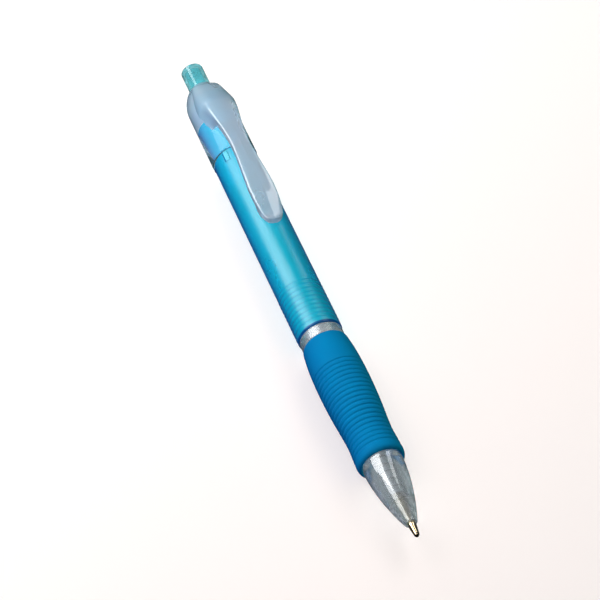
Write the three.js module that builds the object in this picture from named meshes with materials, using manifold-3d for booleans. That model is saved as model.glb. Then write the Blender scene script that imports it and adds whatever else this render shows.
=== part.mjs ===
// A retractable click pen. Millimetres, pen axis along X, tip towards +X, clip towards +Z.
// Stations along the pen ("u") are counted from the button's rear face towards the ball.
import * as THREE from 'three';
import { mergeVertices } from 'three/addons/utils/BufferGeometryUtils.js';
import Module from 'manifold-3d';

const wasm = await Module();
wasm.setup();

// ---------------------------------------------------------------- driving dimensions
const LENGTH = 141.6; // button's rear face to the front of the ball
const SHELL_SIDES = 32; // facets round the outer pieces
const INNER_SIDES = 24; // facets round the pieces inside
const GRIP_SIDES = 24; // facets round the grip, each broad enough for the pen to lie still on it
const GAP = 0.3; // clearance between faces that meet
const SLIP = 0.15; // radial clearance between nested tubes

const BUTTON_R = 2.6;
const BUTTON_WALL = 0.7;
const BUTTON_FLANGE_R = 3.2;
const CAP_REAR = 7.0; // the cap's rear face, so the button stands out 7 mm
const CAP_R = 5.2;
const CAP_FRONT = 30.3;
const DOME_LENGTH = 6.2;
const BARREL_R = 5.05;
const BARREL_BORE_R = 4.1;
const BARREL_NECK_R = 4.6;
const BARREL_FRONT = 85.4;
const THREAD_START = 71.9;
const THREAD_PITCH = 1.235;
const THREAD_TURNS = 10;
const COLLAR_R = 4.85;
const GRIP_REAR = 88.2;
const GRIP_FRONT = 122.1;
const GRIP_R = 5.75; // at its widest
const GRIP_CORE_R = 4.15;
const NOSE_FRONT = 138.1;
const NOSE_BASE_R = 4.4;
const NOSE_END_R = 1.4;
const NOSE_CHAMFER = 0.2;
const NOSE_HOLE_R = 0.97;
const SLEEVE_R = BARREL_BORE_R - SLIP;
const SLEEVE_BORE_R = 3.4;
const SLEEVE_REAR = 12.2;
const SLEEVE_FRONT = 39.4;
const TRACK_R = 2.95; // inner face of the sleeve's guide ribs
const CAM_RIB_R = 3.2; // outer face of the ribs that run between them
const REFILL_R = 2.75;
const REFILL_BORE_R = 2.35;
const REFILL_REAR = 37.4;
const REFILL_FRONT = 118.2;
const BALL_R = 0.5;
const BALL_AT = LENGTH - BALL_R;
const SPRING_R = 1.75;
const SPRING_WIRE_R = 0.16;
const CLIP_ROOT = 24.0; // where the free arm starts
const CLIP_END = 55.9;
const CLIP_THICK = 1.55;
const CLIP_FOOT_AT = 52.4; // the nib under the clip that presses on the barrel
const KEY_ANGLE = THREE.MathUtils.degToRad(37); // side of the key slot, turned from the clip

// grip outline: station and radius, from the rear edge to the front lip
const GRIP_OUTLINE = [
  [88.9, 5.2], [92.4, 5.52], [96.2, 5.7], [99.5, GRIP_R], [103.5, 5.68], [107.5, 5.5],
  [111.5, 5.22], [114.6, 5.06], [118.0, 5.18], [120.6, 5.3],
];
// clip centre line: station and height of the outer face above the pen axis
const CLIP_TOP = [
  [19.5, 7.75], [28, 8.2], [36, 8.35], [42, 8.35], [46, 8.2], [51, 7.8], [54, 7.3], [CLIP_END, 6.95],
];
// clip outline seen from above: station and half width
const CLIP_HALF_WIDTH = [
  [9, 2.5], [13, 3.2], [17, 3.7], [18.3, 3.65], [21.5, 3.1], [25, 2.5], [29, 2.13], [33, 2.1], [37.5, 2.3],
  [41, 2.58], [44.7, 2.86], [46.5, 2.92], [50.5, 2.8], [53.4, 2.45],
];

const AXIS_HEIGHT = GRIP_R * Math.cos(Math.PI / GRIP_SIDES); // the widest ring of the grip rests on z = 0
const along = (u) => u - LENGTH / 2;

// ---------------------------------------------------------------- shape helpers
// Closed ring profile [station, radius] turned about the pen axis.
function turned(profile, sides = SHELL_SIDES) {
  const points = profile.map(([u, r]) => new THREE.Vector2(r, along(u)));
  const first = profile[0];
  const last = profile[profile.length - 1];
  const endsOnAxis = first[1] === 0 && last[1] === 0;
  if (!endsOnAxis) {
    points.push(points[0].clone());
  }
  const geometry = new THREE.LatheGeometry(points, sides, Math.PI / sides);
  return geometry.rotateZ(-Math.PI / 2);
}

// Plain tube between two stations.
function tube(start, end, outer, inner, sides = INNER_SIDES) {
  return turned([[start, inner], [start, outer], [end, outer], [end, inner]], sides);
}

// Smooth line through [station, value] pairs.
function smooth(pairs, steps) {
  const curve = new THREE.SplineCurve(pairs.map(([u, v]) => new THREE.Vector2(u, v)));
  return curve.getPoints(steps).map((p) => [p.x, p.y]);
}

function solidOf(geometry) {
  const bare = new THREE.BufferGeometry();
  bare.setAttribute('position', geometry.getAttribute('position').clone());
  if (geometry.index) {
    bare.setIndex(geometry.index.clone());
  }
  const merged = mergeVertices(bare, 1e-4);
  const vertProperties = new Float32Array(merged.getAttribute('position').array);
  const triVerts = new Uint32Array(merged.index.array);
  return new wasm.Manifold(new wasm.Mesh({ numProp: 3, vertProperties, triVerts }));
}

function geometryOf(solid) {
  const mesh = solid.getMesh();
  const geometry = new THREE.BufferGeometry();
  geometry.setAttribute('position', new THREE.BufferAttribute(new Float32Array(mesh.vertProperties), 3));
  geometry.setIndex(new THREE.BufferAttribute(new Uint32Array(mesh.triVerts), 1));
  geometry.computeVertexNormals();
  return geometry;
}

function joined(...geometries) {
  return geometryOf(geometries.map(solidOf).reduce((a, b) => a.add(b)));
}

function cut(body, ...tools) {
  return geometryOf(tools.map(solidOf).reduce((a, b) => a.subtract(b), solidOf(body)));
}

// Flat outline in the station/side plane, raised between two radii and turned to an angle about the axis.
function radialBar(outline, innerR, outerR, angle) {
  const shape = new THREE.Shape(outline.map(([u, side]) => new THREE.Vector2(along(u), side)));
  const bar = new THREE.ExtrudeGeometry(shape, { depth: outerR - innerR, bevelEnabled: false });
  return bar.translate(0, 0, innerR).rotateX(angle);
}

// Equal bars spaced round the axis.
function barRing(count, outline, innerR, outerR, offset = 0) {
  const bars = [];
  for (let i = 0; i < count; i += 1) {
    bars.push(radialBar(outline, innerR, outerR, offset + (2 * Math.PI * i) / count));
  }
  return bars;
}

// Straight-sided piece of the clip: side profile [station, height] cut to the outline seen from above.
function clipBlock(sideProfile, start, end) {
  const side = new THREE.Shape(sideProfile.map(([u, z]) => new THREE.Vector2(along(u), z)));
  const reach = 2 * CAP_R;
  const wall = new THREE.ExtrudeGeometry(side, { depth: reach, bevelEnabled: false });
  wall.translate(0, 0, -reach / 2).rotateX(Math.PI / 2);
  const edge = smooth(CLIP_HALF_WIDTH, 36).filter(([u]) => u > start && u < end);
  const halfWidthAt = (u) => edge.reduce((best, p) => (Math.abs(p[0] - u) < Math.abs(best[0] - u) ? p : best))[1];
  const right = [[start, halfWidthAt(start)], ...edge];
  const plan = new THREE.Shape();
  right.forEach(([u, w], i) => (i ? plan.lineTo(along(u), w) : plan.moveTo(along(u), w)));
  const [lastU, lastW] = right[right.length - 1];
  if (end >= CLIP_END) {
    plan.absellipse(along(lastU), 0, end - lastU, lastW, Math.PI / 2, -Math.PI / 2, true);
  } else {
    plan.lineTo(along(end), lastW);
    plan.lineTo(along(end), -lastW);
  }
  [...right].reverse().forEach(([u, w]) => plan.lineTo(along(u), -w));
  const slab = new THREE.ExtrudeGeometry(plan, { depth: 3 * CAP_R, bevelEnabled: false, curveSegments: 6 });
  return geometryOf(solidOf(wall).intersect(solidOf(slab)));
}

// Wire wound about the pen axis.
class Helix extends THREE.Curve {
  constructor(start, end, radius, turns) {
    super();
    Object.assign(this, { start, end, radius, turns });
  }

  getPoint(t, target = new THREE.Vector3()) {
    const angle = 2 * Math.PI * this.turns * t;
    const x = along(this.start + (this.end - this.start) * t);
    return target.set(x, this.radius * Math.sin(angle), this.radius * Math.cos(angle));
  }
}

function coilSpring(start, end, radius, wireR, turns, stepsPerTurn, wireSides) {
  const section = new THREE.Shape();
  section.absarc(0, 0, wireR, 0, 2 * Math.PI);
  const path = new Helix(start, end, radius, turns);
  const options = { steps: Math.round(turns * stepsPerTurn), extrudePath: path, curveSegments: wireSides };
  return new THREE.ExtrudeGeometry(section, options);
}

// ---------------------------------------------------------------- pieces of the click mechanism
function pushButton() {
  const inner = BUTTON_R - BUTTON_WALL;
  return turned([
    [0, 0], [0, BUTTON_R - 0.25], [0.25, BUTTON_R], [20, BUTTON_R], [20, BUTTON_FLANGE_R],
    [21.8, BUTTON_FLANGE_R], [21.8, inner], [1.1, inner], [1.1, 0],
  ], INNER_SIDES);
}

function thrustCrown() {
  const start = 22.1;
  const shoulder = 30.4;
  const outer = 2.7;
  const inner = 1.8;
  const body = tube(start, shoulder, outer, inner);
  const tooth = [[shoulder - 0.2, -0.95], [shoulder + 1, 0], [shoulder - 0.2, 0.95]];
  const lug = [[27, -0.5], [29.6, -0.5], [29.6, 0.5], [27, 0.5]];
  const teeth = barRing(8, tooth, 2.05, 2.6, Math.PI / 8);
  const lugs = barRing(4, lug, outer - 0.2, CAM_RIB_R);
  return joined(body, ...teeth, ...lugs);
}

function rotorCam() {
  const body = turned([
    [26, 0], [26, 1.3], [31.9, 1.3], [31.9, 1.9], [36.6, 1.9], [36.6, 0],
  ], INNER_SIDES);
  const rib = [[31.9, -0.5], [35.9, -0.5], [35.9, 0.5], [32.6, 0.5]];
  return joined(body, ...barRing(4, rib, 1.7, CAM_RIB_R));
}

function guideSleeve() {
  const body = tube(SLEEVE_REAR, SLEEVE_FRONT, SLEEVE_R, SLEEVE_BORE_R);
  const track = [[25, -0.4], [31.2, -0.4], [31.9, 0.4], [25, 0.4]];
  const key = radialBar([[30, -0.4], [33.0, -0.4], [33.0, 0.4], [30, 0.4]], SLEEVE_R - 0.2, 4.7, KEY_ANGLE);
  return joined(body, key, ...barRing(8, track, TRACK_R, SLEEVE_BORE_R + 0.2, Math.PI / 8));
}

// ---------------------------------------------------------------- outer shell
function domePoints() {
  const points = [];
  const startR = 3.1;
  for (let i = 0; i <= 7; i += 1) {
    const x = i / 7;
    points.push([CAP_REAR + DOME_LENGTH * x, startR + (CAP_R - startR) * (1 - (1 - x) ** 2.1)]);
  }
  return points;
}

function clipCap() {
  const holeR = BUTTON_R + SLIP;
  const pocketR = BARREL_BORE_R;
  const neckR = BARREL_NECK_R + SLIP;
  const shell = turned([
    [CAP_REAR, holeR], ...domePoints(), [CAP_FRONT, CAP_R], [CAP_FRONT, neckR], [14, neckR],
    [14, pocketR], [11, pocketR], [11, holeR],
  ]);
  const rise = smooth([[8, 3.9], [11, 5.2], [14.5, 6.9], [17.5, 7.75], [19.5, 7.8], [CLIP_ROOT, 8.05]], 14);
  const root = clipBlock([[8, 3.4], [CLIP_ROOT, 5.0], ...rise.reverse()], 8, CLIP_ROOT);
  const bore = turned([[7.5, 0], [7.5, pocketR], [13.9, pocketR], [13.9, neckR], [31, neckR], [31, 0]]);
  return joined(shell, cut(root, bore));
}

// Rounded nib under the clip, by station.
function footDepth(u) {
  const halfLength = 1.7;
  const depth = 0.55;
  return depth * Math.max(0, 1 - ((u - CLIP_FOOT_AT) / halfLength) ** 2);
}

function clipArm() {
  const start = CLIP_ROOT + GAP;
  const top = smooth(CLIP_TOP, 26).filter(([u]) => u > start);
  top.unshift([start, 8.06]);
  const under = top.map(([u, z]) => [u, z - CLIP_THICK - footDepth(u)]);
  return clipBlock([...under, ...top.reverse()], start, CLIP_END);
}

function barrel() {
  const step = CAP_FRONT + GAP;
  const shell = turned([
    [14.3, BARREL_BORE_R], [14.3, BARREL_NECK_R - 0.2], [14.6, BARREL_NECK_R], [step, BARREL_NECK_R],
    [step, BARREL_R], [BARREL_FRONT - 0.3, BARREL_R], [BARREL_FRONT, BARREL_R - 0.15],
    [BARREL_FRONT, 4.3], [THREAD_START, 4.3], [THREAD_START - 0.2, BARREL_BORE_R],
  ]);
  const slot = [[29.5, -0.7], [33.4, -0.7], [33.4, 0.7], [29.5, 0.7]];
  return cut(shell, radialBar(slot, 3.9, 6, KEY_ANGLE));
}

function threadRings() {
  const rings = [];
  for (let i = 0; i < THREAD_TURNS; i += 1) {
    const root = THREAD_START + 0.5 + i * THREAD_PITCH;
    rings.push([root, 3.9], [root + THREAD_PITCH / 2, 4.15]);
  }
  return rings;
}

function noseOutline() {
  const points = [];
  const length = NOSE_FRONT - NOSE_CHAMFER - GRIP_FRONT;
  for (let i = 0; i <= 10; i += 1) {
    const x = i / 10;
    points.push([GRIP_FRONT + length * x, NOSE_BASE_R - (NOSE_BASE_R - NOSE_END_R) * x ** 1.8]);
  }
  points.push([NOSE_FRONT, NOSE_END_R - NOSE_CHAMFER]);
  return points;
}

function frontSection() {
  const boreR = 3.1;
  const springR = 2.15;
  return turned([
    [THREAD_START + 0.3, boreR], [THREAD_START + 0.3, 3.8], ...threadRings(), [BARREL_FRONT + GAP, 3.9],
    [BARREL_FRONT + GAP, COLLAR_R], [GRIP_REAR - GAP, COLLAR_R], [GRIP_REAR - GAP, GRIP_CORE_R],
    [GRIP_FRONT - 0.6, GRIP_CORE_R], ...noseOutline(), [NOSE_FRONT, NOSE_HOLE_R],
    [136, NOSE_HOLE_R], [135.2, 1.4], [132.6, 1.4], [132.6, springR], [122, springR], [121, boreR],
  ]);
}

function grip() {
  const bore = GRIP_CORE_R + SLIP;
  return turned([
    [GRIP_REAR, bore], [GRIP_REAR, 4.95], ...smooth(GRIP_OUTLINE, 18), [121.4, 5.08],
    [121.8, 4.8], [121.8, 4.65], [121.4, 4.55], [121.2, bore],
  ], GRIP_SIDES);
}

// ---------------------------------------------------------------- refill
function refillTailPlug() {
  const ventR = 0.6;
  const spigotR = REFILL_BORE_R - 0.05;
  return turned([
    [36.9, ventR], [36.9, 2.5], [REFILL_REAR - 0.1, REFILL_R - 0.1], [REFILL_REAR - 0.1, spigotR],
    [41, spigotR], [41, ventR],
  ], INNER_SIDES);
}

function inkBody(start, end) {
  const r = REFILL_BORE_R - 0.05;
  return turned([[start, 0], [start, r], [end, r], [end, 0]], INNER_SIDES);
}

function tipAdapter() {
  const duct = 0.45;
  const spigotR = REFILL_BORE_R - 0.05;
  return turned([
    [113.6, duct], [113.6, spigotR], [118.3, spigotR], [118.3, REFILL_R], [119.3, REFILL_R],
    [119.3, 1.4], [130.6, 1.25], [130.6, 0.9], [127, 0.9], [127, duct],
  ], INNER_SIDES);
}

function tipSocket() {
  const duct = 0.3;
  const cavity = BALL_R + 0.03;
  const coneR = 0.85;
  return turned([
    [127.2, duct], [127.2, 0.82], [130.9, 0.82], [130.9, 1.15], [133.6, 1.15], [134.8, coneR],
    [139.1, coneR], [141.0, 0.6], [141.2, cavity], [140.55, cavity], [140.3, duct],
  ], 20);
}

function writingBall() {
  return new THREE.SphereGeometry(BALL_R, 16, 10);
}

// ---------------------------------------------------------------- assembly
const COLOURS = {
  button: { color: 0x12b4cf, roughness: 0.15, metalness: 0 },
  frosted: { color: 0xa9bfd3, roughness: 0.55, metalness: 0 },
  barrel: { color: 0x0aa0c4, roughness: 0.35, metalness: 0 },
  rubber: { color: 0x0a78b8, roughness: 0.85, metalness: 0 },
  clear: { color: 0xc3c9cf, roughness: 0.2, metalness: 0 },
  mechanism: { color: 0x14a9c4, roughness: 0.4, metalness: 0 },
  refill: { color: 0xe6e8e6, roughness: 0.4, metalness: 0 },
  ink: { color: 0x15264f, roughness: 0.3, metalness: 0 },
  grease: { color: 0xd9c98f, roughness: 0.3, metalness: 0 },
  steel: { color: 0xb9bcbf, roughness: 0.3, metalness: 1 },
  tip: { color: 0xb7a98b, roughness: 0.25, metalness: 1 },
  ball: { color: 0x2b2a2a, roughness: 0.2, metalness: 1 },
};

const pen = new THREE.Group();
pen.position.z = AXIS_HEIGHT;

function place(name, finish, geometry, u = LENGTH / 2) {
  const mesh = new THREE.Mesh(geometry, new THREE.MeshStandardMaterial(COLOURS[finish]));
  mesh.name = name;
  mesh.position.x = along(u);
  pen.add(mesh);
}

place('push_button', 'button', pushButton());
place('thrust_crown', 'mechanism', thrustCrown());
place('rotor_cam', 'mechanism', rotorCam());
place('guide_sleeve', 'mechanism', guideSleeve());
place('clip_cap', 'frosted', clipCap());
place('clip_arm', 'frosted', clipArm());
place('barrel', 'barrel', barrel());
place('front_section', 'clear', frontSection());
place('grip', 'rubber', grip());
place('refill_tail_plug', 'refill', refillTailPlug());
place('refill_tube', 'refill', tube(REFILL_REAR, REFILL_FRONT, REFILL_R, REFILL_BORE_R));
place('ink_follower', 'grease', inkBody(58, 61.8));
place('ink_column', 'ink', inkBody(62, 113.3));
place('tip_adapter', 'refill', tipAdapter());
place('return_spring', 'steel', coilSpring(119.7, 132.3, SPRING_R, SPRING_WIRE_R, 8, 12, 3));
place('tip_socket', 'tip', tipSocket());
place('ball_spring', 'steel', coilSpring(134, 140.1, 0.17, 0.04, 6, 8, 2));
place('writing_ball', 'ball', writingBall(), BALL_AT);

export default pen;
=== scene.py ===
"""Looks of a retractable click pen, built round its fixed CAD frame. Metres; profiles are in millimetres."""
import math

import bmesh
import bpy
from mathutils import Matrix, Vector


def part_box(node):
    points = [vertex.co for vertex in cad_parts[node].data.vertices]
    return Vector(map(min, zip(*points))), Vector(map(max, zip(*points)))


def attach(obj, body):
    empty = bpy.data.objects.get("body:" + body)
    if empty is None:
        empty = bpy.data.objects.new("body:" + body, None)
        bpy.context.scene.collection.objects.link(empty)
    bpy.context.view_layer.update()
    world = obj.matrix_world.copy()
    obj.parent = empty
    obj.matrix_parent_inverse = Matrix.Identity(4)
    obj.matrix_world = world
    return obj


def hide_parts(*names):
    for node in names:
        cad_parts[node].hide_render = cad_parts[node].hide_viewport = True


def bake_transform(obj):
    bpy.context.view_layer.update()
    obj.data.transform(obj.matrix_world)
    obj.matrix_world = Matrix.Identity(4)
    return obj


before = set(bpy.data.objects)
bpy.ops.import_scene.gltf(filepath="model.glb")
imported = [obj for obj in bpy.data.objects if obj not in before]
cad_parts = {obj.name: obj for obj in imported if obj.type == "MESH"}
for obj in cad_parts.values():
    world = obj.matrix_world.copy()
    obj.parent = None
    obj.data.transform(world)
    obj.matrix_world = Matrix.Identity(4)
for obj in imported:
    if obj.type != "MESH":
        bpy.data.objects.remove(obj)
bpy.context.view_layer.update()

MM = 0.001

# ---------------------------------------------------------------- places and sizes, from the frame
REAR_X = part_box("push_button")[0][0]  # station 0: the button's rear face
BARREL_LOW, BARREL_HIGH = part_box("barrel")
AXIS_Z = (BARREL_LOW[2] + BARREL_HIGH[2]) / 2
SIDES = 160  # facets round a turned piece

# stations along the pen and radii, in millimetres, as in the CAD
BUTTON_R = 2.6
CAP_REAR = 7.0
CAP_R = 5.2
CAP_FRONT = 30.3
BARREL_R = 5.05
BARREL_BORE_R = 4.1
BARREL_NECK_R = 4.6
BARREL_REAR = 14.3
BARREL_FRONT = 85.4
THREAD_BORE_R = 4.3
THREAD_START = 71.9
THREAD_PITCH = 1.235
THREAD_TURNS = 10
COLLAR_R = 4.85
GRIP_REAR = 88.2
GRIP_FRONT = 122.1
GRIP_CORE_R = 4.15
GROOVE_FIRST = 96.8
GROOVE_PITCH = 1.187
GROOVES = 20
NOSE_FRONT = 138.1
NOSE_BASE_R = 4.4
NOSE_END_R = 1.36
NOSE_HOLE_R = 0.97
KEY_ANGLE = math.radians(37)
SLOT_REAR = 29.5
SLOT_FRONT = 33.4
BALL_AT = 141.1
BALL_R = 0.5
CLIP_ROOT = 24.0
CLIP_END = 55.9


def x_at(station):
    return REAR_X + station * MM


# ---------------------------------------------------------------- mesh helpers
def mesh_object(name, verts, faces, flat_angle=32):
    mesh = bpy.data.meshes.new(name)
    mesh.from_pydata(verts, [], faces)
    work = bmesh.new()
    work.from_mesh(mesh)
    bmesh.ops.remove_doubles(work, verts=work.verts, dist=1e-7)
    bmesh.ops.recalc_face_normals(work, faces=work.faces)
    work.to_mesh(mesh)
    work.free()
    for polygon in mesh.polygons:
        polygon.use_smooth = True
    mesh.set_sharp_from_angle(angle=math.radians(flat_angle))
    obj = bpy.data.objects.new(name, mesh)
    bpy.context.scene.collection.objects.link(obj)
    return obj


def filleted(profile, radius, closed=True, steps=4):
    """The profile with each corner turned into a short curve that starts radius (mm) before it."""
    count = len(profile)
    result = []
    for i, corner in enumerate(profile):
        if not closed and i in (0, count - 1):
            result.append(corner)
            continue
        before = profile[i - 1]
        after = profile[(i + 1) % count]
        ends = []
        for other in (before, after):
            gap = math.dist(corner, other)
            share = min(radius / gap, 0.45)
            ends.append([corner[k] + (other[k] - corner[k]) * share for k in (0, 1)])
        for j in range(steps + 1):
            t = j / steps
            result.append(tuple(
                (1 - t) ** 2 * ends[0][k] + 2 * t * (1 - t) * corner[k] + t * t * ends[1][k] for k in (0, 1)
            ))
    return result


def revolve(name, profile, sides=SIDES, wave=None):
    """Turns a closed (station, radius) profile about the pen axis.
    wave(station, radius, turn) may move the radius."""
    rings = []
    verts = []
    for station, radius in profile:
        if radius < 1e-6:
            rings.append([len(verts)] * sides)
            verts.append((x_at(station), 0, AXIS_Z))
            continue
        ring = []
        for j in range(sides):
            turn = j / sides
            r = (wave(station, radius, turn) if wave else radius) * MM
            angle = 2 * math.pi * turn
            ring.append(len(verts))
            verts.append((x_at(station), r * math.sin(angle), AXIS_Z + r * math.cos(angle)))
        rings.append(ring)
    pairs = list(zip(rings, rings[1:]))
    if profile[0][1] > 1e-6:
        pairs.append((rings[-1], rings[0]))
    faces = []
    for a, b in pairs:
        for j in range(sides):
            k = (j + 1) % sides
            corners = [a[j], b[j], b[k], a[k]]
            kept = [c for n, c in enumerate(corners) if c not in corners[:n]]
            if len(kept) > 2:
                faces.append(kept)
    return mesh_object(name, verts, faces)


def spline(points, steps):
    """A smooth line through the points (Catmull-Rom), with steps pieces between neighbours."""
    padded = [points[0]] + list(points) + [points[-1]]
    result = []
    for i in range(1, len(padded) - 2):
        p0, p1, p2, p3 = padded[i - 1:i + 3]
        for j in range(steps):
            t = j / steps
            result.append(tuple(
                0.5 * (2 * p1[k] + (p2[k] - p0[k]) * t + (2 * p0[k] - 5 * p1[k] + 4 * p2[k] - p3[k]) * t * t
                       + (3 * p1[k] - p0[k] - 3 * p2[k] + p3[k]) * t ** 3)
                for k in range(len(p1))
            ))
    result.append(tuple(points[-1]))
    return result


def value_at(points, station):
    """Straight-line reading of a (station, value) list."""
    if station <= points[0][0]:
        return points[0][1]
    for (u0, v0), (u1, v1) in zip(points, points[1:]):
        if station <= u1:
            return v0 + (v1 - v0) * (station - u0) / (u1 - u0)
    return points[-1][1]


def loft(name, sections, flat_angle=32):
    """Closed skin over sections of equal point count, with its two ends capped."""
    verts = [point for section in sections for point in section]
    n = len(sections[0])
    faces = [tuple(range(n)), tuple(len(verts) - n + i for i in range(n))]
    for i in range(len(sections) - 1):
        for j in range(n):
            k = (j + 1) % n
            faces.append((i * n + j, i * n + k, (i + 1) * n + k, (i + 1) * n + j))
    return mesh_object(name, verts, faces, flat_angle)


def evaluated_mesh(obj):
    """A new mesh of what obj looks like with its modifiers or curve settings."""
    bpy.context.view_layer.update()
    graph = bpy.context.evaluated_depsgraph_get()
    return bpy.data.meshes.new_from_object(obj.evaluated_get(graph))


def carve(obj, tool):
    """Cuts tool's shape out of obj and removes tool."""
    cut = obj.modifiers.new("carve", "BOOLEAN")
    cut.operation = "DIFFERENCE"
    cut.solver = "EXACT"
    cut.object = tool
    mesh = evaluated_mesh(obj)
    obj.modifiers.clear()
    obj.data = mesh
    bpy.data.objects.remove(tool)
    return obj


# ---------------------------------------------------------------- material helpers
class Paint:
    """Small helper round one material's node tree."""

    def __init__(self, name, **sockets):
        self.material = bpy.data.materials.new(name)
        self.material.use_nodes = True
        self.tree = self.material.node_tree
        self.shader = self.tree.nodes["Principled BSDF"]
        self.place = self.node("ShaderNodeTexCoord").outputs["Object"]
        self.along = self.node("ShaderNodeSeparateXYZ", {0: self.place}).outputs["X"]
        for socket, value in sockets.items():
            self.shader.inputs[socket.replace("_", " ")].default_value = value

    def node(self, kind, inputs=None, **settings):
        node = self.tree.nodes.new(kind)
        for key, value in settings.items():
            setattr(node, key, value)
        for key, value in (inputs or {}).items():
            if isinstance(value, bpy.types.NodeSocket):
                self.tree.links.new(value, node.inputs[key])
            else:
                node.inputs[key].default_value = value
        return node

    def link(self, source, socket):
        self.tree.links.new(source, self.shader.inputs[socket])

    def noise(self, scale, detail=3.0, stretch=(1, 1, 1)):
        spread = self.node("ShaderNodeVectorMath", {0: self.place, 1: stretch}, operation="MULTIPLY")
        settings = {"Vector": spread.outputs[0], "Scale": scale, "Detail": detail}
        return self.node("ShaderNodeTexNoise", settings)

    def between(self, factor, low, high):
        """A colour that runs from low to high with factor. Each is a colour or another node's output."""
        mix = self.node("ShaderNodeMix", data_type="RGBA")
        self.tree.links.new(factor, mix.inputs["Factor"])
        for socket, colour in (("A", low), ("B", high)):
            if isinstance(colour, bpy.types.NodeSocket):
                self.tree.links.new(colour, mix.inputs[socket])
            else:
                mix.inputs[socket].default_value = (*colour, 1)
        return mix.outputs["Result"]

    def ranged(self, factor, low, high, start=0.0, stop=1.0):
        return self.node(
            "ShaderNodeMapRange",
            {"Value": factor, "From Min": start, "From Max": stop, "To Min": low, "To Max": high},
        ).outputs["Result"]

    def slant_shaded(self, colour, edge):
        """Painted shade: runs from colour, seen square on, to edge, a darker colour, seen at a slant towards
        the silhouette.
        """
        slant = self.node("ShaderNodeLayerWeight", {"Blend": 0.35}).outputs["Facing"]
        return self.between(self.ranged(slant, 0, 1, 0.15, 0.8), colour, edge)

    def end_face_shaded(self, colour, rim, station):
        """Painted shade: turns colour into the darker rim colour in front of the station."""
        return self.between(self.ranged(self.along, 0, 1, x_at(station - 0.15), x_at(station)), colour, rim)

    def pass_lamp_light(self, colour):
        """Shadow rays go through the wall and take its tint."""
        clear = self.node("ShaderNodeBsdfTransparent", {"Color": (*colour, 1)})
        rays = self.node("ShaderNodeLightPath")
        mix = self.node("ShaderNodeMixShader", {"Fac": rays.outputs["Is Shadow Ray"]})
        self.tree.links.new(self.shader.outputs[0], mix.inputs[1])
        self.tree.links.new(clear.outputs[0], mix.inputs[2])
        self.tree.links.new(mix.outputs[0], self.tree.nodes["Material Output"].inputs["Surface"])

    def bump(self, height, distance, strength=1.0):
        node = self.node("ShaderNodeBump", {"Height": height, "Distance": distance, "Strength": strength})
        self.link(node.outputs["Normal"], "Normal")


def moulded(name, low, high, roughness, lamp_light=None, edge=None, rim=None, matt_rear=None, **sockets):
    """Moulded plastic: a slight flow marbling, a fine surface ripple and an uneven gloss.
    lamp_light is the colour of the light that a see-through wall lets through from the lamps.
    edge is a darker colour painted as shade where the wall is seen at a slant, towards the silhouette; on a
    dyed wall it also stands for the deeper dye seen through more of its thickness.
    rim is (station, colour): painted shade that turns the wall's end face, in front of the station, a deeper
    colour.
    matt_rear is (station, station): the coat's gloss rises from matt to full between them."""
    paint = Paint(name, **sockets)
    flow = paint.noise(160, 4, (0.35, 1, 1)).outputs["Fac"]
    grain = paint.noise(2600, 2).outputs["Fac"]
    colour = paint.between(paint.ranged(flow, 0, 1, 0.3, 0.7), low, high)
    # painted shade: darker towards the silhouette, where the wall is seen at a slant
    if edge:
        colour = paint.slant_shaded(colour, edge)
    # painted shade on the wall's end face, in front of the rim station
    if rim:
        colour = paint.end_face_shaded(colour, rim[1], rim[0])
    if matt_rear:
        coat = paint.ranged(paint.along, 0.4, 0.05, x_at(matt_rear[0]), x_at(matt_rear[1]))
        paint.link(coat, "Coat Roughness")
    paint.link(colour, "Base Color")
    paint.link(paint.ranged(flow, roughness * 0.85, roughness * 1.15, 0.3, 0.7), "Roughness")
    paint.bump(grain, 0.000003, 0.15)
    if lamp_light:
        paint.pass_lamp_light(lamp_light)
    return paint.material


def polished_metal(name, low, high, roughness):
    """Turned metal: fine lathe lines round the axis."""
    paint = Paint(name, Metallic=1.0)
    lines = paint.noise(9000, 2, (1, 0.02, 0.02)).outputs["Fac"]
    tarnish = paint.noise(900, 3).outputs["Fac"]
    paint.link(paint.between(paint.ranged(tarnish, 0, 1, 0.35, 0.65), low, high), "Base Color")
    paint.link(paint.ranged(lines, roughness * 0.7, roughness * 1.5, 0.3, 0.7), "Roughness")
    paint.bump(lines, 0.000006, 0.4)
    return paint.material


def rubber_material():
    """Matt rubber: fine speckle, faint clouds of colour and gloss, and painted shade that darkens it at a
    slant, towards the silhouette.
    """
    paint = Paint("grip_rubber", Specular_IOR_Level=0.03)
    speckle = paint.noise(5200, 2).outputs["Fac"]
    cloud = paint.noise(210, 4).outputs["Fac"]
    colour = paint.between(paint.ranged(cloud, 0, 1, 0.3, 0.7), (0.0, 0.205, 0.46), (0.0, 0.225, 0.49))
    # painted shade: the rubber turns darker towards its silhouette
    paint.link(paint.slant_shaded(colour, (0.0, 0.10, 0.26)), "Base Color")
    paint.link(paint.ranged(cloud, 0.7, 0.85, 0.3, 0.7), "Roughness")
    paint.bump(speckle, 0.00002, 0.6)
    return paint.material


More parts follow.
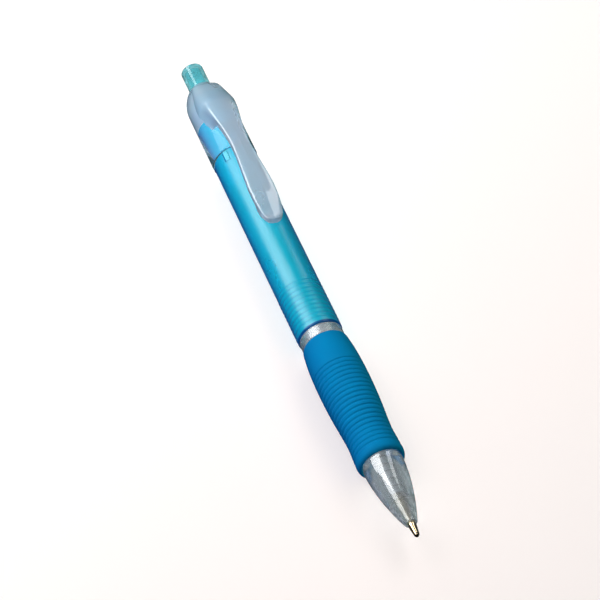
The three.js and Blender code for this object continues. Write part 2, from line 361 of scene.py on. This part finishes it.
# painted shade: the barrel darkens to deep blue at a slant towards its silhouette, partly standing for deeper
# dye through more wall; its front end face is painted deeper blue as shade too
BARREL_PLASTIC = moulded(
    "barrel_plastic", (0.0, 0.54, 0.69), (0.0, 0.56, 0.71), 0.31,
    lamp_light=(0.05, 0.06, 0.07), edge=(0.0, 0.02, 0.28), rim=(BARREL_FRONT - 0.35, (0.0, 0.07, 0.3)),
    Transmission_Weight=0.5, IOR=1.42, Specular_IOR_Level=0.45,
)
BUTTON_PLASTIC = moulded(
    "button_plastic", (0.36, 0.87, 0.93), (0.38, 0.89, 0.95), 0.03, lamp_light=(0.2, 0.7, 0.76),
    Transmission_Weight=0.94, IOR=1.42,
)
SLEEVE_PLASTIC = moulded("mechanism_plastic", (0.02, 0.52, 0.66), (0.03, 0.55, 0.69), 0.4)
# painted shade: darker and bluer at a slant, towards the silhouette
FROSTED_PLASTIC = moulded(
    "frosted_plastic", (0.61, 0.66, 0.73), (0.64, 0.69, 0.76), 0.3,
    lamp_light=(0.6, 0.64, 0.68), edge=(0.34, 0.48, 0.62),
    Transmission_Weight=0.66, IOR=1.3, Coat_Weight=1.0, Coat_Roughness=0.04, Coat_IOR=1.65,
)
# painted shade: darker and bluer at a slant, towards the silhouette
CAP_TUBE_PLASTIC = moulded(
    "cap_tube_plastic", (0.84, 0.90, 0.94), (0.86, 0.92, 0.95), 0.04,
    lamp_light=(0.8, 0.86, 0.9), edge=(0.30, 0.68, 0.92),
    Transmission_Weight=0.97, IOR=1.2,
)
# painted shade: much darker at a slant, towards the silhouette
CLEAR_PLASTIC = moulded(
    "clear_plastic", (0.66, 0.69, 0.72), (0.69, 0.72, 0.75), 0.22,
    lamp_light=(0.7, 0.73, 0.75), edge=(0.14, 0.19, 0.24), matt_rear=(90, 120),
    Transmission_Weight=0.88, IOR=1.4, Coat_Weight=1.0, Coat_IOR=1.65,
)
# dark grey: partly the refill's ink showing through its wall, partly painted shade for the inside of the
# barrel and nose, which the shadowless softboxes light fully
REFILL_PLASTIC = moulded("refill_plastic", (0.27, 0.30, 0.32), (0.31, 0.34, 0.36), 0.35)
INK_GEL = moulded("ink_gel", (0.01, 0.02, 0.12), (0.015, 0.03, 0.16), 0.15)
GREASE = moulded("follower_grease", (0.62, 0.55, 0.32), (0.66, 0.60, 0.38), 0.2)
GRIP_RUBBER = rubber_material()
TIP_METAL = polished_metal("tip_metal", (0.70, 0.56, 0.35), (0.78, 0.64, 0.43), 0.1)
SPRING_METAL = polished_metal("spring_metal", (0.52, 0.53, 0.54), (0.60, 0.60, 0.61), 0.2)
BALL_METAL = polished_metal("ball_metal", (0.03, 0.025, 0.02), (0.05, 0.04, 0.03), 0.12)


def finish_piece(obj, material, slot, body, *nodes):
    """Gives a piece its material, hides the CAD nodes it stands for, and ties it to its body. The slot
    argument is not used.
    """
    obj.data.materials.clear()
    obj.data.materials.append(material)
    if nodes:
        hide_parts(*nodes)
    if body:
        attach(obj, body)
    return obj


# ---------------------------------------------------------------- turned pieces
def make_button():
    """Clear tube with a closed end, whose inner face carries the ring left by moulding."""
    bore = 1.9
    shell = [
        (0, 0), (0, BUTTON_R), (20, BUTTON_R), (20, 3.2), (21.8, 3.2), (21.8, bore), (1.15, bore),
        (1.15, 1.15), (0.85, 1.05), (0.85, 0.55), (1.35, 0.45), (1.35, 0),
    ]
    obj = revolve("button_shell", filleted(shell, 0.16, closed=False))
    return finish_piece(obj, BUTTON_PLASTIC, "button", "plunger", "push_button")


def radial_block(name, start, end, half_width, low, high):
    """A block between two stations and two radii, at the key's place round the barrel."""
    sections = []
    for station in (start, end):
        ring = []
        for radius, side in ((low, -half_width), (high, -half_width), (high, half_width), (low, half_width)):
            spot = Matrix.Rotation(KEY_ANGLE, 3, "X") @ Vector((0, side * MM, radius * MM))
            ring.append((x_at(station), spot.y, AXIS_Z + spot.z))
        sections.append(ring)
    return loft(name, sections)


def make_sleeve():
    """Guide sleeve with a chamfered front end and its key."""
    outer = BARREL_BORE_R - 0.12
    profile = [(12.2, 3.4), (12.2, outer), (39.0, outer), (39.4, outer - 0.25), (39.4, 3.4)]
    obj = revolve("sleeve_shell", filleted(profile, 0.1))
    key = radial_block("sleeve_key", 30.0, 33.0, 0.45, 3.8, 4.72)
    finish_piece(key, SLEEVE_PLASTIC, "mechanism", "pen_shell")
    return finish_piece(obj, SLEEVE_PLASTIC, "mechanism", "pen_shell", "guide_sleeve")


def thread_wave(depth):
    """Screw thread: the radius rises and falls by depth along a helix in the threaded zone."""
    end = THREAD_START + THREAD_PITCH * THREAD_TURNS + 0.6

    def wave(station, radius, turn):
        if not THREAD_START < station < end:
            return radius
        phase = (station - THREAD_START) / THREAD_PITCH - turn
        run_in = min(1, (station - THREAD_START) / 0.8, (end - station) / 0.8)
        return radius + depth * run_in * math.cos(2 * math.pi * phase)

    return wave


def fine_stations(start, end, step):
    """Evenly spaced stations from start to end, about step apart."""
    count = round((end - start) / step)
    return [start + (end - start) * i / count for i in range(count + 1)]


def make_barrel():
    """Translucent tube: neck that plugs into the cap, key slot, and the thread inside its front end."""
    step = CAP_FRONT + 0.25
    rings_end = BARREL_FRONT - 0.5
    outer = [(u, BARREL_R) for u in fine_stations(THREAD_START - 0.6, rings_end, 0.1)]
    inner = [(u, THREAD_BORE_R) for u in reversed(fine_stations(THREAD_START, BARREL_FRONT - 0.4, 0.1))]
    # with rings close to the slot, its cut leaves no long thin faces
    ring_behind = SLOT_REAR - 0.7
    ring_ahead = SLOT_FRONT + 0.8
    rear = filleted([
        (THREAD_START - 0.3, BARREL_BORE_R), (ring_ahead, BARREL_BORE_R), (ring_behind, BARREL_BORE_R),
        (BARREL_REAR, BARREL_BORE_R), (BARREL_REAR, BARREL_NECK_R), (ring_behind, BARREL_NECK_R),
        (step, BARREL_NECK_R), (step, BARREL_R), (ring_ahead, BARREL_R), (THREAD_START - 1, BARREL_R),
    ], 0.14, closed=False)
    rim = filleted([
        (rings_end, BARREL_R), (BARREL_FRONT - 0.3, BARREL_R), (BARREL_FRONT, BARREL_R - 0.2),
        (BARREL_FRONT, THREAD_BORE_R), (BARREL_FRONT - 0.4, THREAD_BORE_R),
    ], 0.08, closed=False)
    inside = thread_wave(0.14)
    outside = thread_wave(0.045)

    def wave(station, radius, turn):
        return outside(station, radius, turn) if radius > 4.8 else inside(station, radius, turn)

    obj = revolve("barrel_shell", rear[:-1] + outer + rim[1:-1] + inner, wave=wave)
    carve(obj, radial_block("key_slot", SLOT_REAR, SLOT_FRONT, 0.7, 3.9, 6))
    obj.data.set_sharp_from_angle(angle=math.radians(32))
    return finish_piece(obj, BARREL_PLASTIC, "barrel", "pen_shell", "barrel")


def make_front():
    """Clear front section in one moulding: threaded boss, collar, core under the grip and nose."""
    boss_end = BARREL_FRONT - 0.2
    boss = [(u, 3.98) for u in fine_stations(THREAD_START + 0.3, boss_end, 0.1)]
    nose_length = NOSE_FRONT - GRIP_FRONT
    nose = []
    for i in range(41):
        x = i / 40
        nose.append((GRIP_FRONT + nose_length * x, NOSE_BASE_R - (NOSE_BASE_R - NOSE_END_R) * x ** 1.8))
    collar = filleted([
        (boss_end, 3.9), (BARREL_FRONT + 0.2, 3.9), (BARREL_FRONT + 0.2, COLLAR_R),
        (GRIP_REAR - 0.1, COLLAR_R - 0.02), (GRIP_REAR - 0.1, GRIP_CORE_R), (GRIP_FRONT - 0.7, GRIP_CORE_R),
        (GRIP_FRONT - 0.2, NOSE_BASE_R), nose[1],
    ], 0.15, closed=False)
    bore = filleted([
        nose[-3], (NOSE_FRONT, NOSE_END_R), (NOSE_FRONT, NOSE_HOLE_R), (136, NOSE_HOLE_R), (135.2, 1.4),
        (132.6, 1.4), (132.6, 2.15), (122, 2.15), (121, 3.1), (THREAD_START + 0.3, 3.1), boss[0],
    ], 0.22, closed=False)
    obj = revolve("front_shell", boss + collar[1:-1] + nose[1:-3] + bore[:-1], wave=thread_wave(0.12))
    return finish_piece(obj, CLEAR_PLASTIC, "clear_front", "front", "front_section")


GRIP_OUTLINE = [
    (88.9, 5.16), (92.4, 5.52), (96.2, 5.7), (99.5, 5.75), (103.5, 5.68), (107.5, 5.5),
    (111.5, 5.22), (114.6, 5.06), (118.0, 5.18), (120.4, 5.28),
]


def make_grip():
    """Rubber sleeve with fine round grooves along its front three quarters."""
    bore = GRIP_CORE_R + 0.1
    outline = spline(GRIP_OUTLINE, 14)
    half_width = 0.42
    depth = 0.13
    start = GROOVE_FIRST - 1.2 * half_width
    end = GROOVE_FIRST + (GROOVES - 1) * GROOVE_PITCH + 1.2 * half_width
    skin = [p for p in outline if p[0] < start]
    for station in fine_stations(start, end, 0.06):
        nearest = round((station - GROOVE_FIRST) / GROOVE_PITCH)
        away = min(1, abs(station - GROOVE_FIRST - nearest * GROOVE_PITCH) / half_width)
        skin.append((station, value_at(outline, station) - depth * (1 - away ** 2) ** 2))
    skin += [p for p in outline if p[0] > end]
    rear_end = [(GRIP_REAR + 0.4, bore), (GRIP_REAR, bore), (GRIP_REAR, 4.98), skin[0]]
    rear = filleted(rear_end, 0.22, closed=False)
    lip = spline([skin[-1], (121.15, 5.2), (121.65, 4.98), (121.95, 4.68), (121.8, 4.5), (121.4, bore)], 6)
    obj = revolve("grip_sleeve_skin", rear[:-1] + skin + lip[1:], sides=128)
    return finish_piece(obj, GRIP_RUBBER, "grip_rubber", "grip_sleeve", "grip")


def make_tip():
    """Metal cone with its crimped rim, and the ball."""
    profile = [
        (127.2, 0.3), (127.2, 0.82), (130.9, 0.82), (130.9, 1.15), (133.6, 1.15), (134.8, 0.85),
        (138.9, 0.85), (140.9, 0.62), (141.22, 0.54), (141.2, 0.515), (140.6, 0.52), (140.3, 0.3),
    ]
    cone = revolve("tip_cone", filleted(profile, 0.08), sides=96)
    finish_piece(cone, TIP_METAL, "tip_metal", "refill", "tip_socket")
    ball = []
    for i in range(25):
        angle = math.pi * i / 24
        ball.append((BALL_AT - BALL_R * math.cos(angle), BALL_R * math.sin(angle)))
    sphere = revolve("ball_surface", ball, sides=48)
    finish_piece(sphere, BALL_METAL, "ball_metal", "ball", "writing_ball")


def make_adapter():
    """Plastic nose of the refill, with the shoulder that the return spring pushes on."""
    profile = [
        (113.6, 0.45), (113.6, 2.3), (118.3, 2.3), (118.3, 2.75), (119.3, 2.75), (119.4, 1.4),
        (130.6, 1.25), (130.6, 0.9), (127, 0.9), (127, 0.45),
    ]
    obj = revolve("adapter_body", filleted(profile, 0.12), sides=96)
    return finish_piece(obj, REFILL_PLASTIC, "refill_plastic", "refill", "tip_adapter")


def make_spring():
    """Return spring between the adapter's shoulder and the step in the nose; its ends are closed coils."""
    start = 119.6
    end = 132.45
    turns = 8.5
    radius = 1.75
    wire_r = 0.16
    steps = int(turns * 40)
    curve = bpy.data.curves.new("spring_path", "CURVE")
    curve.dimensions = "3D"
    curve.bevel_depth = wire_r * MM
    curve.bevel_resolution = 3
    curve.use_fill_caps = True
    line = curve.splines.new("POLY")
    line.points.add(steps)
    for i, point in enumerate(line.points):
        t = i / steps
        closed = 1.1 / turns
        rise = max(0, min(1, (t - closed) / (1 - 2 * closed)))
        lift = (end - start - 0.7) * rise + 0.35 * (min(t, closed) + max(0, t - 1 + closed)) / closed
        angle = 2 * math.pi * turns * t
        station = start + wire_r + lift * 0.97
        across = radius * MM * math.sin(angle)
        point.co = (x_at(station), across, AXIS_Z + radius * MM * math.cos(angle), 1)
    source = bpy.data.objects.new("spring_path", curve)
    bpy.context.scene.collection.objects.link(source)
    mesh = evaluated_mesh(source)
    bpy.data.objects.remove(source)
    obj = bpy.data.objects.new("spring_coil", mesh)
    bpy.context.scene.collection.objects.link(obj)
    for polygon in mesh.polygons:
        polygon.use_smooth = True
    finish_piece(obj, SPRING_METAL, "spring_wire", None, "return_spring")
    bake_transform(obj)


# ---------------------------------------------------------------- cap and clip
CLIP_TOP = [
    (8.0, 3.6), (9.0, 4.4), (10.5, 5.1), (12.5, 5.85), (15.0, 6.8), (17.2, 7.55), (18.6, 7.76),
    (21.0, 7.86), (24.0, 8.0), (28.0, 8.2), (36.0, 8.37), (42.0, 8.35), (46.0, 8.2), (51.0, 7.8),
    (54.0, 7.32), (CLIP_END, 6.98),
]
CLIP_HALF_WIDTH = [
    (8.0, 2.3), (8.6, 2.95), (9.6, 3.4), (12.5, 4.0), (15.0, 4.32), (17.2, 4.42), (18.3, 4.25),
    (20.0, 3.85), (22.0, 3.4), (25.0, 2.78), (28.5, 2.32), (31.5, 2.13), (34.0, 2.17), (37.5, 2.36),
    (41.0, 2.63), (44.7, 2.88), (46.5, 2.95), (50.5, 2.84), (53.2, 2.52), (54.2, 2.3), (CLIP_END, 2.0),
]
CLIP_THICK = 1.55
FOOT_AT = 52.4


def clip_section(station, top, half_width, bottom, boxiness, ridge):
    """Arch between bottom and top, boxier as boxiness grows, with a creased roof that falls by ridge."""
    points = []
    steps = 48
    for i in range(steps + 1):
        angle = math.pi * i / steps
        across = math.cos(angle)
        up = math.sin(angle)
        power = 2 / boxiness
        y = half_width * math.copysign(abs(across) ** power, across)
        share = abs(y) / half_width
        roof = ridge * (1 - 0.2 * share - 0.8 * share * share)
        z = bottom + (top - ridge - bottom) * abs(up) ** power + roof
        points.append((x_at(station), y * MM, AXIS_Z + z * MM))
    return points


def smoothstep(low, high, value):
    """0 below low, 1 above high, and a smooth rise between."""
    t = max(0.0, min(1.0, (value - low) / (high - low)))
    return t * t * (3 - 2 * t)


def clip_solid():
    """Hump and clip as one solid: it stands on the cap at the rear and becomes a thin blade with a foot."""
    tops = spline(CLIP_TOP, 8)
    widths = spline(CLIP_HALF_WIDTH, 8)
    nose_length = 2.1
    stations = fine_stations(8.0, CLIP_END - nose_length, 0.25)
    stations += [CLIP_END - nose_length * (1 - math.sin(math.pi / 2 * i / 14)) for i in range(1, 15)]
    sections = []
    for station in stations:
        top = value_at(tops, station)
        width = value_at(widths, station)
        into_nose = max(0, (station - CLIP_END + nose_length) / nose_length)
        width *= max(0.02, (1 - into_nose ** 2.4) ** (1 / 2.4))
        free = smoothstep(CLIP_ROOT - 1.6, CLIP_ROOT + 0.8, station)
        under = top - CLIP_THICK - 0.5 * max(0, 1 - ((station - FOOT_AT) / 1.9) ** 2)
        bottom = (1 - free) * 3.0 + free * under
        boxiness = 2.6 + 0.5 * smoothstep(12, 17, station) + 9 * smoothstep(17.5, 25, station)
        ridge = 0.28 * smoothstep(24, 34, station)
        sections.append(clip_section(station, top, width, bottom, boxiness, ridge))
    return loft("clip_body", sections)


def cap_dome_profile():
    """Rounded rear end of the cap, from the button's hole out to the cap's full radius."""
    start_r = 3.1
    length = 6.2
    outer = []
    for i in range(25):
        x = i / 24
        outer.append((CAP_REAR + length * x, start_r + (CAP_R - start_r) * (1 - (1 - x) ** 2.1)))
    return outer


CAP_SEAM = 19.6  # the ring where the thick rear of the cap turns into its thin tube


def remeshed(obj, voxel):
    """Fuses the overlapping skins of obj into one and rounds the joins a little."""
    modifier = obj.modifiers.new("fuse", "REMESH")
    modifier.mode = "VOXEL"
    modifier.voxel_size = voxel
    modifier.use_smooth_shade = True
    soft = obj.modifiers.new("soften", "SMOOTH")
    soft.factor = 0.5
    soft.iterations = 4
    mesh = evaluated_mesh(obj)
    obj.modifiers.clear()
    obj.data = mesh
    return obj


def make_cap():
    """Frosted cap: the dome, the root and the clip in one skin, and the thin tube in front of them."""
    hole = BUTTON_R + 0.14
    neck = BARREL_NECK_R + 0.15
    dome = revolve("cap_dome", [
        *cap_dome_profile(), (CAP_SEAM, CAP_R), (CAP_SEAM, neck), (14.0, neck), (14.0, BARREL_BORE_R),
        (11.0, BARREL_BORE_R), (11.0, hole), (CAP_REAR, hole),
    ])
    clip = clip_solid()
    bore = revolve("cap_bore", [
        (7.5, 0), (7.5, BARREL_BORE_R), (13.8, BARREL_BORE_R), (13.8, neck), (31, neck), (31, 0),
    ])
    carve(clip, bore)
    context = {"active_object": dome, "selected_editable_objects": [dome, clip]}
    with bpy.context.temp_override(**context):
        bpy.ops.object.join()
    skin = remeshed(dome, 0.0001)
    skin.name = "cap_and_clip"
    finish_piece(skin, FROSTED_PLASTIC, "frosted_cap", None, "clip_cap", "clip_arm")
    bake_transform(skin)
    tube = revolve("cap_tube", filleted([
        (CAP_SEAM + 0.02, neck), (CAP_SEAM + 0.02, CAP_R), (CAP_FRONT, CAP_R), (CAP_FRONT, neck),
    ], 0.14))
    finish_piece(tube, CAP_TUBE_PLASTIC, "frosted_cap", "pen_shell")


# ---------------------------------------------------------------- CAD pieces that stay
def dress_cad_nodes():
    """Materials for the inner pieces that keep their CAD shape."""
    kept = {
        "thrust_crown": SLEEVE_PLASTIC,
        "rotor_cam": SLEEVE_PLASTIC,
        "refill_tail_plug": REFILL_PLASTIC,
        "refill_tube": REFILL_PLASTIC,
        "ink_follower": GREASE,
        "ink_column": INK_GEL,
        "ball_spring": SPRING_METAL,
    }
    for node, material in kept.items():
        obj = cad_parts[node]
        for slot in obj.material_slots:
            slot.material = material


# ---------------------------------------------------------------- floor, light and camera
def make_floor():
    """Pale paper sweep. It looks white out to its edges, but throws little light back at the pen."""
    mesh = bpy.data.meshes.new("floor")
    reach = 3.0
    corners = [(-reach, -reach, 0), (reach, -reach, 0), (reach, reach, 0), (-reach, reach, 0)]
    mesh.from_pydata(corners, [], [(0, 1, 2, 3)])
    floor = bpy.data.objects.new("floor", mesh)
    bpy.context.scene.collection.objects.link(floor)
    paint = Paint("floor_paper", Roughness=0.9, Specular_IOR_Level=0.0)
    fibres = paint.noise(900, 3).outputs["Fac"]
    paint.link(paint.between(fibres, (0.95, 0.87, 0.855), (0.97, 0.89, 0.875)), "Base Color")
    paint.shader.inputs["Emission Color"].default_value = (1.0, 0.95, 0.93, 1)
    away = paint.node("ShaderNodeVectorMath", {0: paint.place}, operation="LENGTH").outputs["Value"]
    paint.link(paint.ranged(away, 0.16, 0.85, 0.2, 0.8), "Emission Strength")
    rays = paint.node("ShaderNodeLightPath")
    mirrored = paint.between(rays.outputs["Is Glossy Ray"], (0.12, 0.12, 0.13), (0.05, 0.05, 0.06))
    behind = paint.between(rays.outputs["Is Transmission Ray"], mirrored, (0.42, 0.42, 0.43))
    dim = paint.node("ShaderNodeBsdfDiffuse", {"Color": behind})
    mix = paint.node("ShaderNodeMixShader", {"Fac": rays.outputs["Is Camera Ray"]})
    paint.tree.links.new(dim.outputs[0], mix.inputs[1])
    paint.tree.links.new(paint.shader.outputs[0], mix.inputs[2])
    paint.tree.links.new(mix.outputs[0], paint.tree.nodes["Material Output"].inputs["Surface"])
    mesh.materials.append(paint.material)


def softbox(name, towards, distance, size, power, colour=(1, 1, 1), shadows=True, use="both"):
    """A lit panel that faces the pen and is never seen through clear walls.
    use says whether it lights the pen, is mirrored in it, or both."""
    light = bpy.data.lights.new(name, "AREA")
    light.use_shadow = shadows
    light.shape = "RECTANGLE"
    light.size, light.size_y = size
    light.energy = power
    light.color = colour
    obj = bpy.data.objects.new(name, light)
    direction = Vector(towards).normalized()
    obj.location = direction * distance + Vector((0, 0, AXIS_Z))
    obj.rotation_euler = direction.to_track_quat("Z", "X").to_euler()
    obj.visible_glossy = use != "light"
    obj.visible_transmission = False
    obj.visible_diffuse = use != "mirror"
    bpy.context.scene.collection.objects.link(obj)


def about_axis(tilt, lean=-0.62):
    """A direction tilted (degrees) from straight up towards +Y, leaning along X by the given amount."""
    flat = math.sqrt(1 - lean * lean)
    angle = math.radians(tilt)
    return (lean, flat * math.sin(angle), flat * math.cos(angle))


def make_light():
    """Softboxes in a dim room, whose far wall looks pale to the camera."""
    world = bpy.data.worlds.new("studio")
    world.use_nodes = True
    tree = world.node_tree
    rays = tree.nodes.new("ShaderNodeLightPath")
    level = tree.nodes.new("ShaderNodeMapRange")
    level.inputs["To Min"].default_value = 0.05
    level.inputs["To Max"].default_value = 0.85
    tree.links.new(rays.outputs["Is Camera Ray"], level.inputs["Value"])
    tree.nodes["Background"].inputs["Color"].default_value = (1.0, 0.97, 0.96, 1)
    tree.links.new(level.outputs["Result"], tree.nodes["Background"].inputs["Strength"])
    bpy.context.scene.world = world
    white = (1, 1, 1)
    softbox("left_box", about_axis(-42, -0.545), 0.6, (0.45, 0.48), 4.6, white, False)
    softbox("left_card", about_axis(-42, 0.12), 0.6, (0.36, 0.48), 2.4, white, False, "mirror")
    softbox("strip_box", about_axis(27.5, -0.45), 0.9, (0.8, 0.18), 1.4)
    softbox("strip_card", about_axis(27.5, 0.3), 0.9, (0.5, 0.18), 1.7, white, False, "mirror")
    softbox("back_fill", about_axis(38, -0.5), 0.9, (0.4, 0.3), 1.0, (1.0, 0.96, 0.94), True, "light")
    softbox("front_fill", about_axis(-20, 0.45), 0.9, (0.6, 0.5), 0.6, white, False, "light")
    softbox("right_fill", about_axis(102, -0.2), 0.6, (0.5, 0.3), 2.8, (0.2, 1.0, 0.5), False, "light")
    softbox("low_left_fill", about_axis(-112, -0.1), 0.6, (0.5, 0.2), 0.8, (0.02, 0.2, 1.0), False, "light")


CAMERA_AZIMUTH = 65.87  # degrees, from looking along +Y towards looking along -X
CAMERA_ELEVATION = 47.21
CAMERA_ROLL = 5.54
CAMERA_DISTANCE = 0.647
CAMERA_TARGET = (0.00331, -0.00058, 0.00568)
CAMERA_LENS = 180.9


def make_camera():
    """Long-lens camera that looks down at the pen from the nose's side."""
    azimuth = math.radians(CAMERA_AZIMUTH)
    elevation = math.radians(CAMERA_ELEVATION)
    back = Vector((
        math.sin(azimuth) * math.cos(elevation),
        -math.cos(azimuth) * math.cos(elevation),
        math.sin(elevation),
    ))
    level = Vector((math.cos(azimuth), math.sin(azimuth), 0))
    upright = back.cross(level)
    roll = math.radians(CAMERA_ROLL)
    right = level * math.cos(roll) + upright * math.sin(roll)
    up = back.cross(right)
    data = bpy.data.cameras.new("camera")
    data.lens = CAMERA_LENS
    data.sensor_width = 36
    data.clip_start = 0.01
    camera = bpy.data.objects.new("camera", data)
    turn = Matrix((right, up, back)).transposed().to_4x4()
    camera.matrix_world = Matrix.Translation(Vector(CAMERA_TARGET) + back * CAMERA_DISTANCE) @ turn
    bpy.context.scene.collection.objects.link(camera)
    bpy.context.scene.camera = camera


make_camera()
make_light()
make_floor()
make_button()
make_sleeve()
make_barrel()
make_front()
make_grip()
make_adapter()
make_spring()
make_tip()
make_cap()
dress_cad_nodes()
bpy.context.scene.view_settings.view_transform = "Standard"
